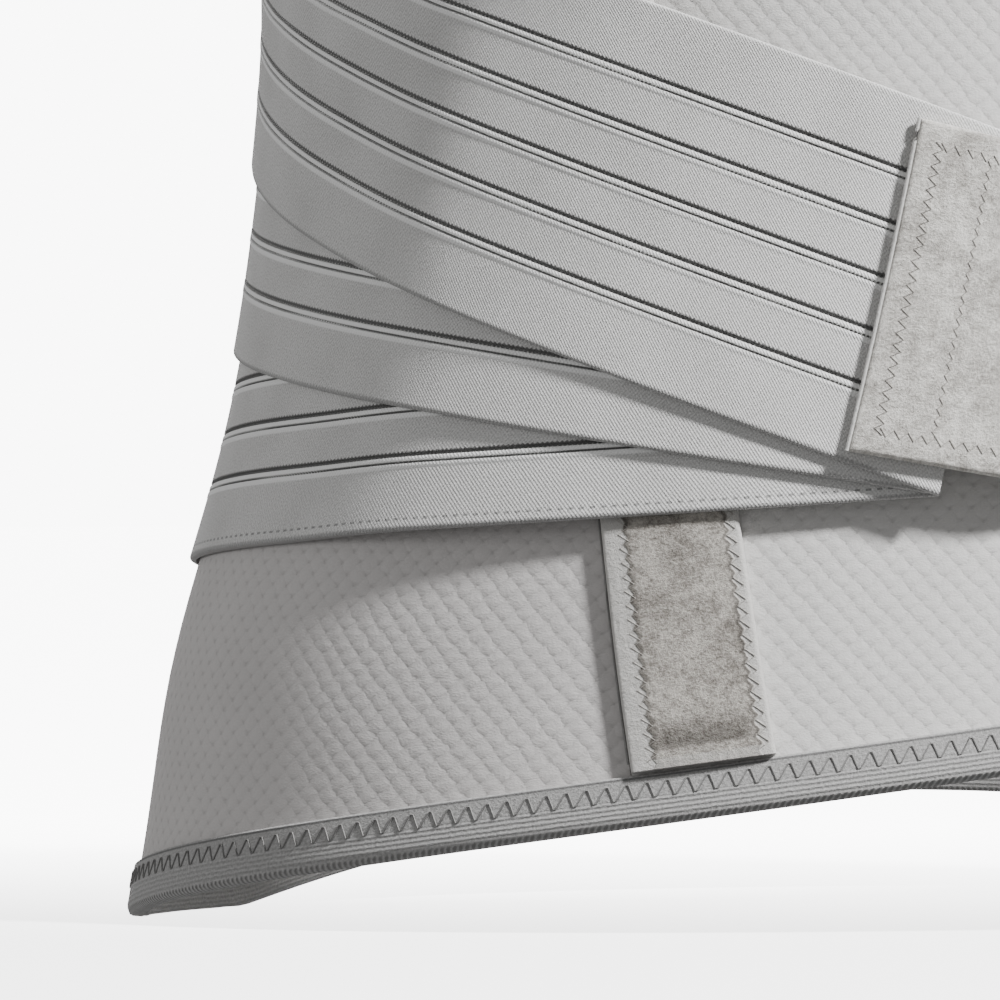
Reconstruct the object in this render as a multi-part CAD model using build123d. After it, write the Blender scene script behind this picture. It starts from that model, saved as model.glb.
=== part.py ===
from build123d import *
import math
import os

# Lumbar support belt, closed as it is worn, standing on the lower edge of its
# back and sides. Millimetres, +Z up, the wearer's front towards -Y.
# A point on the belt is given by s, z and d: s is the distance round the waist
# from the centre front (positive towards -X), z the height, and d the distance
# outward from the inner face of the fabric.

# ---- waist and hips -------------------------------------------------------
WAIST_HALF_WIDTH = 170.0
WAIST_HALF_DEPTH = 112.0
HIP_FLARE_SIDE = 32.0
HIP_FLARE_FRONT = 12.0
WAIST_HEIGHT = 178.0
FLARE_POWER = 1.5
RIB_FLARE = 5.0

# ---- belt outline ---------------------------------------------------------
FRONT_TOP = 206.0
BACK_TOP = 262.0
TOP_RISE_START = 110.0
TOP_RISE_END = 300.0
BOTTOM_RISE_START = 252.0
BOTTOM_RISE_SLOPE = 0.165
BOTTOM_BLEND = 5.0
BACK_ARCH = 22.0
BACK_ARCH_START = 300.0
BACK_ARCH_BLEND = 3.0
SIDE_SEAM = 285.3
SEAM_GAP = 0.5

# ---- fabric, binding, patches --------------------------------------------
FABRIC = 2.6
SEWN_GAP = 0.25
BINDING_WIDTH = 10.0
BINDING_THICK = 1.0
FOLD_OUT = 1.3
GROOVE_IN = 1.0
PANEL_IN = 1.15
PATCH_THICK = 1.2
OUTER_WING_PAST_CENTRE = 8.0
INNER_WING_PAST_CENTRE = 60.0
WING_STEP_IN = 5.6
STEP_START = 12.0
STEP_LENGTH = 60.0

# ---- velour strip with its stay ------------------------------------------
STRIP_WIDTH = 24.4
STRIP_AT_FLOOR = 105.5
STRIP_LEAN = 0.232
STRIP_THICK = 2.3
STAY_THICK = 1.0
FRONT_STAY_WIDTH = 12.0

# ---- back stays -----------------------------------------------------------
BACK_STAY_WIDTH = 14.0
BACK_STAY_THICK = 1.2
CHANNEL_WIDTH = 24.0
CHANNEL_THICK = 2.6
BACK_STAY_PLACES = (26.0, 74.0)

# ---- elastic straps -------------------------------------------------------
STRAP_WIDTH = 68.5
STRAP_THICK = 1.3
STRAP_GAP = 0.25
STRAP_LIFT = 0.45
STRAP_OVER_STRIP = FABRIC + SEWN_GAP + STRIP_THICK + STRAP_LIFT
STRAP_SIDE_LIFT = 0.6
STRAP_AT_SIDE = FABRIC + STRAP_SIDE_LIFT
STRAP_REF = 200.0
UPPER_HEIGHT, UPPER_SLOPE = 167.2, 0.39
MIDDLE_HEIGHT, MIDDLE_SLOPE = 138.0, 0.165
LOWER_HEIGHT, LOWER_SLOPE = 107.7, -0.078
STRAP_END_LOW = 77.7
STRAP_END_LEAN = -0.152
STRAP_END_Z = 81.5
STRAP_SEAM_END = 272.6
ANCHOR_START = 273.2
ANCHOR_WIDTH = 11.2
HINGE_AT = 299.0

# ---- pull tabs ------------------------------------------------------------
TAB_THICK = 2.0
TAB_LIFT = 0.3
TAB_OVER_STRAPS = STRAP_OVER_STRIP + 3 * STRAP_THICK + 2 * STRAP_GAP + TAB_LIFT
TAB_TIP_LIFT = 0.55
TAB_TIP_OFFSET = FABRIC + SEWN_GAP + PATCH_THICK + TAB_TIP_LIFT
TAB_ROOT_TOP = (83.8, 155.0)
TAB_ROOT_BOTTOM = (93.5, 91.0)
TAB_TIP_TOP = (20.0, 138.5)
TAB_TIP_BOTTOM = (29.0, 79.0)


def clamp01(t):
    return max(0.0, min(1.0, t))


def smooth(t):
    t = clamp01(t)
    return t * t * t * (10 + t * (6 * t - 15))


# Arc length round the waist ellipse, from the centre front to the centre back.
ARC_STEPS = 2000
ARC = [0.0]
for i in range(ARC_STEPS):
    t = math.pi * (i + 0.5) / ARC_STEPS
    dx = WAIST_HALF_WIDTH * math.cos(t)
    dy = WAIST_HALF_DEPTH * math.sin(t)
    ARC.append(ARC[-1] + math.hypot(dx, dy) * math.pi / ARC_STEPS)
HALF_ROUND = ARC[-1]


def angle_at(s):
    turns = math.floor((s + HALF_ROUND) / (2 * HALF_ROUND))
    s = s - turns * 2 * HALF_ROUND
    a = abs(s)
    low, high = 0, ARC_STEPS
    while high - low > 1:
        middle = (low + high) // 2
        if ARC[middle] > a:
            high = middle
        else:
            low = middle
    part = (a - ARC[low]) / (ARC[high] - ARC[low])
    return math.copysign(math.pi * (low + part) / ARC_STEPS, s)


def half_sizes(z):
    hip = clamp01(1 - z / WAIST_HEIGHT) ** FLARE_POWER
    rib = clamp01((z - WAIST_HEIGHT) / 90.0) ** 2
    a = WAIST_HALF_WIDTH + HIP_FLARE_SIDE * hip + RIB_FLARE * rib
    b = WAIST_HALF_DEPTH + HIP_FLARE_FRONT * hip + RIB_FLARE * rib
    return a, b


def skin(s, z):
    t = angle_at(s)
    a, b = half_sizes(z)
    return Vector(-a * math.sin(t), -b * math.cos(t), z)


def point(s, z, d):
    e = 0.5
    along = skin(s + e, z) - skin(s - e, z)
    up = skin(s, z + e) - skin(s, z - e)
    normal = along.cross(up).normalized()
    here = skin(s, z)
    if normal.X * here.X + normal.Y * here.Y < 0:
        normal = normal * -1
    return here + normal * d


def wrapped(s):
    turns = math.floor((s + HALF_ROUND) / (2 * HALF_ROUND))
    return abs(s - turns * 2 * HALF_ROUND)


def bottom_edge(s):
    u = (BOTTOM_RISE_START - wrapped(s)) / BOTTOM_BLEND
    ramp = u if u > 30 else math.log1p(math.exp(u))
    v = (wrapped(s) - BACK_ARCH_START) / BACK_ARCH_BLEND
    past = BACK_ARCH_BLEND * (v if v > 30 else math.log1p(math.exp(v)))
    turn = min(1.0, past / (HALF_ROUND - BACK_ARCH_START))
    arch = BACK_ARCH * math.sin(math.pi / 2 * turn)
    return BOTTOM_RISE_SLOPE * BOTTOM_BLEND * ramp + arch


def top_edge(s):
    t = (wrapped(s) - TOP_RISE_START) / (TOP_RISE_END - TOP_RISE_START)
    return FRONT_TOP + (BACK_TOP - FRONT_TOP) * smooth(t)


def value(f, t):
    return f(t) if callable(f) else f


def sheet_points(s0, s1, z0, z1, d0, mirror, nu, nv):
    rows = []
    for i in range(nu + 1):
        row = []
        for j in range(nv + 1):
            u, v = i / nu, j / nv
            z = 100.0
            for _ in range(10):
                s = value(s0, z) * (1 - u) + value(s1, z) * u
                z = value(z0, s) * (1 - v) + value(z1, s) * v
            p = point(s, z, value(d0, s))
            if mirror:
                p = Vector(-p.X, p.Y, p.Z)
            row.append(p)
        rows.append(row)
    return rows


def net_area(rows):
    total = 0.0
    for i in range(len(rows) - 1):
        for j in range(len(rows[0]) - 1):
            one = rows[i + 1][j + 1] - rows[i][j]
            two = rows[i + 1][j] - rows[i][j + 1]
            total += one.cross(two).length / 2
    return total


def slab(s0, s1, z0, z1, d0, thick, mirror=False, nu=24, nv=6):
    """A curved sheet between the limits s0..s1 and z0..z1, starting d0 out.

    Each limit is a number or a function: s limits of z, z limits and d0 of s.
    The point net is made finer until the smooth surface agrees with its area.
    """
    found = []
    for finer in (1.0, 1.4, 2.0, 2.8):
        rows = sheet_points(s0, s1, z0, z1, d0, mirror, int(nu * finer), nv)
        area = net_area(rows)
        mid = rows[len(rows) // 2][nv // 2]
        fine = sheet_points(s0, s1, z0, z1, d0, mirror, 2 * (len(rows) - 1), 2 * nv)
        between = [row[1 + 2 * ((3 * i) % nv)] for i, row in enumerate(fine[1::2])]
        for degree in (3, 8):
            face = Face.make_surface_from_array_of_points(rows, tol=0.01, min_deg=3, max_deg=degree)
            if abs(face.area / area - 1) > 0.004:
                continue
            off = max(face.distance_to(p) for p in between)
            found.append((off, face, area, mid))
        if found and min(f[0] for f in found) < 0.03:
            break
    for off, face, area, mid in sorted(found, key=lambda f: f[0]):
        normal = face.normal_at(face.center())
        outward = normal.X * mid.X + normal.Y * mid.Y > 0
        solid = Solid.thicken(face, thick if outward else -thick)
        if off < 0.5 and abs(solid.volume / (area * thick) - 1) < 0.1:
            return solid
    raise ValueError("the surface does not follow its points")


def steps(s0, s1):
    return max(6, int(abs(s1 - s0) / 11))


def floor_cut(shape):
    below = Pos(0, 0, -50) * Box(900, 900, 100)
    return shape - below


def edge_binding(s0, s1, edge, sign, offset=0.0, mirror=False):
    """A folded tape over the lower (sign 1) or upper (sign -1) edge."""
    n = steps(s0, s1)
    tape = slab(
        s0, s1,
        lambda s: edge(s) - sign * FOLD_OUT,
        lambda s: edge(s) + sign * (BINDING_WIDTH - FOLD_OUT),
        lambda s: value(offset, s) - SEWN_GAP - BINDING_THICK,
        FABRIC + 2 * SEWN_GAP + 2 * BINDING_THICK,
        mirror, n, 3,
    )
    groove = slab(
        s0 - 2, s1 + 2,
        lambda s: edge(s) + sign * GROOVE_IN,
        lambda s: edge(s) + sign * (BINDING_WIDTH + 2),
        lambda s: value(offset, s) - SEWN_GAP,
        FABRIC + 2 * SEWN_GAP,
        mirror, n, 3,
    )
    if sign > 0:
        return floor_cut(tape - groove)
    return tape - groove


nodes = {}


def wing(side, past_centre, inner):
    """One front wing: side panel, front panel, strip, stay, bindings, patch."""
    mirror = side == "right"
    end = -past_centre
    seam = SIDE_SEAM - SEAM_GAP

    def off(s):
        if not inner:
            return 0.0
        return -WING_STEP_IN * (1 - smooth((s - STEP_START) / STEP_LENGTH))

    def strip_mid(z):
        return STRIP_AT_FLOOR + STRIP_LEAN * z

    def panel_seam(z):
        return strip_mid(z) + STRIP_WIDTH / 2 + 0.3

    low = lambda s: bottom_edge(s) + PANEL_IN
    high = lambda s: top_edge(s) - PANEL_IN
    inset = BINDING_THICK + 0.4

    nodes["side_panel_" + side] = slab(
        lambda z: panel_seam(z) + 0.1, seam, low, high, 0.0, FABRIC, mirror, 26, 12)
    nodes["front_panel_" + side] = slab(
        end + inset, lambda z: panel_seam(z) - 0.1, low, high, off, FABRIC, mirror, 26, 12)
    nodes["bottom_binding_" + side] = edge_binding(end, seam, bottom_edge, 1, off, mirror)
    nodes["top_binding_" + side] = edge_binding(end, seam, top_edge, -1, off, mirror)

    # Folded tape over the free front end, between the two edge bindings.
    z0 = lambda s: bottom_edge(s) + BINDING_WIDTH + 0.2
    z1 = lambda s: top_edge(s) - BINDING_WIDTH - 0.2
    tape = slab(
        end, end + BINDING_WIDTH, z0, z1,
        lambda s: off(s) - SEWN_GAP - BINDING_THICK,
        FABRIC + 2 * SEWN_GAP + 2 * BINDING_THICK, mirror, 6, 6)
    groove = slab(
        end + BINDING_THICK + 0.3, end + BINDING_WIDTH + 2,
        lambda s: bottom_edge(s) + 2, lambda s: top_edge(s) - 2,
        lambda s: off(s) - SEWN_GAP, FABRIC + 2 * SEWN_GAP, mirror, 6, 6)
    nodes["end_binding_" + side] = tape - groove

    # Velour strip, a pocket that is open at its lower end, with a flat stay.
    base = FABRIC + SEWN_GAP
    strip_low = lambda s: bottom_edge(s) + BINDING_WIDTH + 0.3
    strip_high = lambda s: top_edge(s) - BINDING_WIDTH - 0.3
    cover = slab(
        lambda z: strip_mid(z) - STRIP_WIDTH / 2, lambda z: strip_mid(z) + STRIP_WIDTH / 2,
        strip_low, strip_high, base, STRIP_THICK, mirror, 6, 8)
    half = FRONT_STAY_WIDTH / 2
    pocket = slab(
        lambda z: strip_mid(z) - half - 0.4, lambda z: strip_mid(z) + half + 0.4,
        lambda s: bottom_edge(s) + 2, lambda s: top_edge(s) - 22,
        base + 0.4, STAY_THICK + 0.3, mirror, 6, 8)
    nodes["velour_strip_" + side] = cover - pocket
    nodes["front_stay_" + side] = slab(
        lambda z: strip_mid(z) - half, lambda z: strip_mid(z) + half,
        lambda s: bottom_edge(s) + 16, lambda s: top_edge(s) - 24,
        base + 0.55, STAY_THICK, mirror, 6, 8)

    # Closure patches: hook inside the outer wing, loop outside the inner wing.
    p0 = lambda s: bottom_edge(s) + 15
    p1 = lambda s: top_edge(s) - 15
    if inner:
        nodes["closure_loop_patch"] = slab(
            end + 11.5, end + 56, p0, p1,
            lambda s: off(s) + FABRIC + SEWN_GAP, PATCH_THICK, mirror, 8, 6)
    else:
        nodes["closure_hook_patch"] = slab(
            end + 11.5, end + 56, p0, p1,
            lambda s: off(s) - SEWN_GAP - PATCH_THICK, PATCH_THICK, mirror, 8, 6)


def straps(side):
    """Three fanned elastic straps, layered outward, and the tab that joins them."""
    mirror = side == "right"

    def base(s):
        t = smooth((s - 165.0) / 40.0)
        return STRAP_OVER_STRIP * (1 - t) + STRAP_AT_SIDE * t

    def strap(name, height, slope, layer):
        half = STRAP_WIDTH / 2 * math.sqrt(1 + slope * slope)
        centre = lambda s: height + slope * (s - STRAP_REF)
        nodes[name + "_strap_" + side] = slab(
            lambda z: STRAP_END_LOW + STRAP_END_LEAN * (z - STRAP_END_Z), STRAP_SEAM_END,
            lambda s: centre(s) - half, lambda s: centre(s) + half,
            lambda s: base(s) + layer * (STRAP_THICK + STRAP_GAP), STRAP_THICK,
            mirror, 20, 5)

    strap("lower", LOWER_HEIGHT, LOWER_SLOPE, 0)
    strap("middle", MIDDLE_HEIGHT, MIDDLE_SLOPE, 1)
    strap("upper", UPPER_HEIGHT, UPPER_SLOPE, 2)

    def line(p, q):
        return lambda z: p[0] + (q[0] - p[0]) * (z - p[1]) / (q[1] - p[1])

    def edge(p, q):
        return lambda s: p[1] + (q[1] - p[1]) * (s - p[0]) / (q[0] - p[0])

    def tab_offset(s):
        return TAB_TIP_OFFSET + (TAB_OVER_STRAPS - TAB_TIP_OFFSET) * smooth((s - 46.0) / 22.0)

    tip = line(TAB_TIP_BOTTOM, TAB_TIP_TOP)
    root = line(TAB_ROOT_BOTTOM, TAB_ROOT_TOP)
    low = edge(TAB_TIP_BOTTOM, TAB_ROOT_BOTTOM)
    high = edge(TAB_TIP_TOP, TAB_ROOT_TOP)
    nodes["pull_tab_" + side] = slab(tip, root, low, high, tab_offset, TAB_THICK, mirror, 14, 5)
    nodes["tab_hook_patch_" + side] = slab(
        lambda z: tip(z) + 4, lambda z: tip(z) + 22,
        lambda s: low(s) + 4, lambda s: high(s) - 4,
        lambda s: tab_offset(s) - SEWN_GAP - PATCH_THICK, PATCH_THICK, mirror, 6, 5)
    nodes["strap_anchor_" + side] = slab(
        ANCHOR_START, ANCHOR_START + ANCHOR_WIDTH, 66.0, 238.0,
        FABRIC + SEWN_GAP, 1.6, mirror, 4, 8)


def back():
    """The back panel with its bindings, four stay channels and four stays."""
    s0 = SIDE_SEAM + SEAM_GAP
    s1 = 2 * HALF_ROUND - s0
    nodes["back_panel"] = slab(
        s0, s1, lambda s: bottom_edge(s) + PANEL_IN, lambda s: top_edge(s) - PANEL_IN,
        0.0, FABRIC, False, 36, 12)
    nodes["bottom_binding_back"] = edge_binding(s0, s1, bottom_edge, 1)
    nodes["top_binding_back"] = edge_binding(s0, s1, top_edge, -1)
    base = FABRIC + SEWN_GAP
    number = 0
    for place in (-BACK_STAY_PLACES[1], -BACK_STAY_PLACES[0], BACK_STAY_PLACES[0], BACK_STAY_PLACES[1]):
        number += 1
        mid = HALF_ROUND + place
        w = CHANNEL_WIDTH / 2
        h = BACK_STAY_WIDTH / 2
        cover = slab(
            mid - w, mid + w, lambda s: bottom_edge(s) + BINDING_WIDTH + 0.4,
            lambda s: top_edge(s) - BINDING_WIDTH - 0.4,
            base, CHANNEL_THICK, False, 6, 8)
        pocket = slab(
            mid - h - 0.4, mid + h + 0.4, lambda s: bottom_edge(s) + 2, BACK_TOP - 22,
            base + 0.4, BACK_STAY_THICK + 0.3, False, 6, 8)
        nodes["stay_channel_%d" % number] = cover - pocket
        nodes["back_stay_%d" % number] = slab(
            mid - h, mid + h, lambda s: bottom_edge(s) + 16, BACK_TOP - 24,
            base + 0.55, BACK_STAY_THICK, False, 6, 8)


back()
wing("left", OUTER_WING_PAST_CENTRE, False)
wing("right", INNER_WING_PAST_CENTRE, True)
straps("left")
straps("right")

# Centre the belt over the origin.
boxes = [shape.bounding_box() for shape in nodes.values()]
centre_x = (min(b.min.X for b in boxes) + max(b.max.X for b in boxes)) / 2
centre_y = (min(b.min.Y for b in boxes) + max(b.max.Y for b in boxes)) / 2
lowest = min(b.min.Z for b in boxes)
move = Pos(-centre_x, -centre_y, -lowest)

os.makedirs("parts", exist_ok=True)
for name, shape in nodes.items():
    moved = move * shape
    solids = moved.solids()
    body = solids[0] if len(solids) == 1 else Compound(children=solids)
    export_step(body, "parts/" + name + ".step")

hinge = point(HINGE_AT, 0.0, FABRIC + BINDING_THICK + 1.2)
stand = point(SIDE_SEAM + 1.5, 0.0, FABRIC / 2)
print("nodes", len(nodes))
print("centre moved by", round(-centre_x, 4), round(-centre_y, 4), round(-lowest, 4))
print("left hinge", round(hinge.X - centre_x, 3), round(hinge.Y - centre_y, 3))
print("right hinge", round(-hinge.X - centre_x, 3), round(hinge.Y - centre_y, 3))
print("standing point", round(stand.X - centre_x, 3), round(stand.Y - centre_y, 3))
print("size", [round(max(getattr(b.max, k) for b in boxes) - min(getattr(b.min, k) for b in boxes), 2)
               for k in ("X", "Y", "Z")])
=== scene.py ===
import math

import bpy
import numpy as np
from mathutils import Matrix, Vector


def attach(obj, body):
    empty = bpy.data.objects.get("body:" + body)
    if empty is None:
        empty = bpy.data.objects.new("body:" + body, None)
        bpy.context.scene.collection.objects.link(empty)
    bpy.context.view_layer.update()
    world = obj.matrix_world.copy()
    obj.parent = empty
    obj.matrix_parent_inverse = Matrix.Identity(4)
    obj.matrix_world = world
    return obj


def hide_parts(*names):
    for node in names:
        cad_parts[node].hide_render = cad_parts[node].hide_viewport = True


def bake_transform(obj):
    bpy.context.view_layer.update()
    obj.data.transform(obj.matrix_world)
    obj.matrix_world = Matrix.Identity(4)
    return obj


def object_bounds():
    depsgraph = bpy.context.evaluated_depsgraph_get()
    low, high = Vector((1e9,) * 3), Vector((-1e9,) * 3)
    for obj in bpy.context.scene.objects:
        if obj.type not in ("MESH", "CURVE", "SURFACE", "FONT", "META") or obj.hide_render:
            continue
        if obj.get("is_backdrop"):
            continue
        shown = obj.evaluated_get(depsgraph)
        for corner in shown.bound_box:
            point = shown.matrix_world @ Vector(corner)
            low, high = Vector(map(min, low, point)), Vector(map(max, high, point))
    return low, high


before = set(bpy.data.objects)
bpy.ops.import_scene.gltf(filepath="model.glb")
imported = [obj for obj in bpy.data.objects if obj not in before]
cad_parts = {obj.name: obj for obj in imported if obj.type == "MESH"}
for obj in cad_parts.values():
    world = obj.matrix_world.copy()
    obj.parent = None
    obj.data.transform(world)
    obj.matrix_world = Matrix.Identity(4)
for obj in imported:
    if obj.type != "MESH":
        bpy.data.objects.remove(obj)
LOW_BEFORE, HIGH_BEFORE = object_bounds()

# ---------------------------------------------------------------- belt shape
# Millimetres inside the shape functions, metres in the meshes. s is the
# distance round the waist from the centre front (positive towards -X), z the
# height, d the distance outward from the inner face of the fabric.
WAIST_A, WAIST_B = 170.0, 112.0
HIP_A, HIP_B = 32.0, 12.0
WAIST_Z, RIB = 178.0, 5.0
SHIFT_Y = -0.9412
SEAM = 285.3
STEPS = 2000

_t = (np.arange(STEPS) + 0.5) * math.pi / STEPS
ARC = np.concatenate([[0.0], np.cumsum(np.hypot(WAIST_A * np.cos(_t), WAIST_B * np.sin(_t)))])
ARC *= math.pi / STEPS
HALF = ARC[-1]
ANGLES = np.linspace(0.0, math.pi, STEPS + 1)


def smooth(t):
    t = np.clip(t, 0.0, 1.0)
    return t * t * t * (10 + t * (6 * t - 15))


def wrapped(s):
    return np.abs((np.asarray(s, float) + HALF) % (2 * HALF) - HALF)


def skin(s, z):
    s = (s + HALF) % (2 * HALF) - HALF
    t = np.sign(s) * np.interp(np.abs(s), ARC, ANGLES)
    hip = np.clip(1 - z / WAIST_Z, 0, 1) ** 1.5
    rib = np.clip((z - WAIST_Z) / 90.0, 0, 1) ** 2
    bulge = 5.0 * np.exp(-((z - 50.0) / 36.0) ** 2) * np.sin(t) ** 4
    a = WAIST_A + HIP_A * hip + RIB * rib + bulge
    b = WAIST_B + HIP_B * hip + RIB * rib
    return np.stack([-a * np.sin(t), -b * np.cos(t), z], -1)


def P(s, z, d, mirror=False):
    """Points in metres."""
    s, z, d = np.broadcast_arrays(np.asarray(s, float), np.asarray(z, float), np.asarray(d, float))
    e = 0.5
    n = np.cross(skin(s + e, z) - skin(s - e, z), skin(s, z + e) - skin(s, z - e))
    n /= np.linalg.norm(n, axis=-1, keepdims=True)
    here = skin(s, z)
    flip = np.where((n[..., 0] * here[..., 0] + n[..., 1] * here[..., 1]) < 0, -1.0, 1.0)
    p = here + n * (flip * d)[..., None]
    if mirror:
        p[..., 0] *= -1
    p[..., 1] += SHIFT_Y
    return p * 0.001


def bottom(s):
    u = (252.0 - wrapped(s)) / 5.0
    rise = 0.165 * 5.0 * np.where(u > 30, u, np.log1p(np.exp(np.minimum(u, 30))))
    past = 3.0 * np.logaddexp(0.0, (wrapped(s) - 300.0) / 3.0)
    return rise + 22.0 * np.sin(math.pi / 2 * np.minimum(past / (HALF - 300.0), 1.0))


def top(s):
    return 206.0 + 56.0 * smooth((wrapped(s) - 110.0) / 190.0)


def inner_step(s):
    return -5.6 * (1 - smooth((np.asarray(s, float) - 12.0) / 60.0))


def flat_step(s):
    return np.zeros_like(np.asarray(s, float))


# ------------------------------------------------------------ mesh helpers
def build(name, verts, faces, mat, uv=None, sharp=50.0):
    me = bpy.data.meshes.new(name)
    me.from_pydata([tuple(v) for v in verts], [], faces)
    me.update()
    me.polygons.foreach_set("use_smooth", [True] * len(me.polygons))
    if sharp:
        me.set_sharp_from_angle(angle=math.radians(sharp))
    if uv is not None:
        layer = me.uv_layers.new(name="cloth")
        index = np.empty(len(me.loops), int)
        me.loops.foreach_get("vertex_index", index)
        layer.data.foreach_set("uv", np.asarray(uv, np.float32)[index].ravel())
    me.materials.append(mat)
    ob = bpy.data.objects.new(name, me)
    bpy.context.scene.collection.objects.link(ob)
    return ob


def slab(name, S, Z, DO, DI, mat, mirror=False, U=None, V=None):
    """A closed sheet: outer face at DO, inner face at DI, walls between."""
    n, m = S.shape
    outer = P(S, Z, DO, mirror).reshape(-1, 3)
    inner = P(S, Z, DI, mirror).reshape(-1, 3)
    verts = np.concatenate([outer, inner])
    i, j = np.meshgrid(np.arange(n - 1), np.arange(m - 1), indexing="ij")
    a = (i * m + j).ravel()
    quads = np.stack([a, a + 1, a + m + 1, a + m], -1)
    back = quads[:, ::-1] + n * m
    ring = list(range(m))
    ring += [k * m + m - 1 for k in range(1, n)]
    ring += [(n - 1) * m + k for k in range(m - 2, -1, -1)]
    ring += [k * m for k in range(n - 2, 0, -1)]
    ring = np.array(ring)
    nxt = np.roll(ring, -1)
    walls = np.stack([ring, ring + n * m, nxt + n * m, nxt], -1)
    faces = np.concatenate([quads, back, walls])
    if mirror:
        faces = faces[:, ::-1]
    U = S if U is None else U
    V = Z if V is None else V
    uv = np.stack([U.ravel(), V.ravel()], -1) * 0.001
    return build(name, verts, faces.tolist(), mat, np.concatenate([uv, uv]))


def sweep(name, S, ring_d, ring_t, place, mat, mirror=False):
    """A closed profile (d, t) carried along the stations S; place(s, t) gives z."""
    n, m = len(S), len(ring_t)
    SS = np.repeat(np.asarray(S)[:, None], m, 1)
    TT = np.repeat(np.asarray(ring_t)[None], n, 0)
    DD = np.repeat(np.asarray(ring_d)[None], n, 0) if np.ndim(ring_d) == 1 else ring_d
    ZZ = place(SS, TT)
    verts = P(SS, ZZ, DD, mirror).reshape(-1, 3)
    faces = []
    for i in range(n - 1):
        for j in range(m):
            k = (j + 1) % m
            faces.append((i * m + j, i * m + k, (i + 1) * m + k, (i + 1) * m + j))
    faces.append(tuple(range(m))[::-1])
    faces.append(tuple((n - 1) * m + j for j in range(m)))
    if mirror:
        faces = [f[::-1] for f in faces]
    uv = np.stack([SS.ravel(), TT.ravel()], -1) * 0.001
    return build(name, verts, faces, mat, uv, 40.0)


def tube(name, runs, radius, mat, sides=6):
    """Round thread along each run of points (metres)."""
    verts, faces, uvs = [], [], []
    for run in runs:
        run = np.asarray(run, float)
        tan = np.gradient(run, axis=0)
        tan /= np.linalg.norm(tan, axis=1, keepdims=True) + 1e-12
        ref = np.array([0.0, 0.0, 1.0])
        one = np.cross(tan, ref)
        flat = np.linalg.norm(one, axis=1) < 0.2
        one[flat] = np.cross(tan[flat], np.array([1.0, 0.0, 0.0]))
        one /= np.linalg.norm(one, axis=1, keepdims=True)
        two = np.cross(tan, one)
        base = len(verts)
        n = len(run)
        length = np.concatenate([[0], np.cumsum(np.linalg.norm(np.diff(run, axis=0), axis=1))])
        for k in range(n):
            for q in range(sides):
                w = 2 * math.pi * q / sides
                verts.append(run[k] + radius * (math.cos(w) * one[k] + math.sin(w) * two[k]))
                uvs.append((length[k], q / sides * 0.001))
        for k in range(n - 1):
            for q in range(sides):
                r = (q + 1) % sides
                faces.append((base + k * sides + q, base + k * sides + r,
                              base + (k + 1) * sides + r, base + (k + 1) * sides + q))
        faces.append(tuple(base + q for q in range(sides))[::-1])
        faces.append(tuple(base + (n - 1) * sides + q for q in range(sides)))
    return build(name, verts, faces, mat, uvs, 60.0)


# --------------------------------------------------------------- materials
class Shade:
    def __init__(self, name, rough=0.9, sheen=0.0, color=(0.5, 0.5, 0.5)):
        self.mat = bpy.data.materials.new(name)
        self.mat.use_nodes = True
        self.tree = self.mat.node_tree
        self.bsdf = self.tree.nodes["Principled BSDF"]
        self.bsdf.inputs["Base Color"].default_value = (*color, 1)
        self.bsdf.inputs["Roughness"].default_value = rough
        self.bsdf.inputs["Specular IOR Level"].default_value = 0.25
        if sheen:
            self.bsdf.inputs["Sheen Weight"].default_value = sheen
            self.bsdf.inputs["Sheen Roughness"].default_value = 0.45
        self.uv = self.tree.nodes.new("ShaderNodeUVMap")
        self.uv.uv_map = "cloth"
        split = self.node("ShaderNodeSeparateXYZ", {0: self.uv.outputs[0]})
        self.x, self.y = split.outputs[0], split.outputs[1]

    def node(self, kind, ins=(), **props):
        n = self.tree.nodes.new(kind)
        for k, v in props.items():
            setattr(n, k, v)
        for k, v in dict(ins).items():
            if isinstance(v, bpy.types.NodeSocket):
                self.tree.links.new(v, n.inputs[k])
            else:
                n.inputs[k].default_value = v
        return n

    def m(self, op, a, b=None, c=None, clamp=False):
        ins = {0: a}
        if b is not None:
            ins[1] = b
        if c is not None:
            ins[2] = c
        return self.node("ShaderNodeMath", ins, operation=op, use_clamp=clamp).outputs[0]

    def vec(self, x, y, z=0.0):
        return self.node("ShaderNodeCombineXYZ", {0: x, 1: y, 2: z}).outputs[0]

    def noise(self, vector, scale, detail=2.0, rough=0.5):
        ins = {"Vector": vector, "Scale": scale, "Detail": detail, "Roughness": rough}
        return self.node("ShaderNodeTexNoise", ins).outputs["Fac"]

    def ramp(self, x, lo, hi, out0=0.0, out1=1.0):
        ins = {"Value": x, "From Min": lo, "From Max": hi, "To Min": out0, "To Max": out1}
        return self.node("ShaderNodeMapRange", ins, interpolation_type="SMOOTHSTEP").outputs[0]

    def mix(self, f, a, b):
        n = self.tree.nodes.new("ShaderNodeMix")
        n.data_type = "RGBA"
        for k, v in ((0, f), (6, a), (7, b)):
            if isinstance(v, bpy.types.NodeSocket):
                self.tree.links.new(v, n.inputs[k])
            else:
                n.inputs[k].default_value = v if k == 0 else (*v, 1)
        return n.outputs[2]

    def color(self, socket):
        self.tree.links.new(socket, self.bsdf.inputs["Base Color"])

    def bump(self, height, distance, strength=1.0):
        ins = {"Height": height, "Distance": distance, "Strength": strength}
        n = self.node("ShaderNodeBump", ins)
        self.tree.links.new(n.outputs[0], self.bsdf.inputs["Normal"])

    def band(self, x, centre, half, soft):
        """1 inside centre +- half, 0 outside, with soft edges."""
        away = self.m("ABSOLUTE", self.m("SUBTRACT", x, centre))
        return self.ramp(away, half + soft, half - soft)


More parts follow.
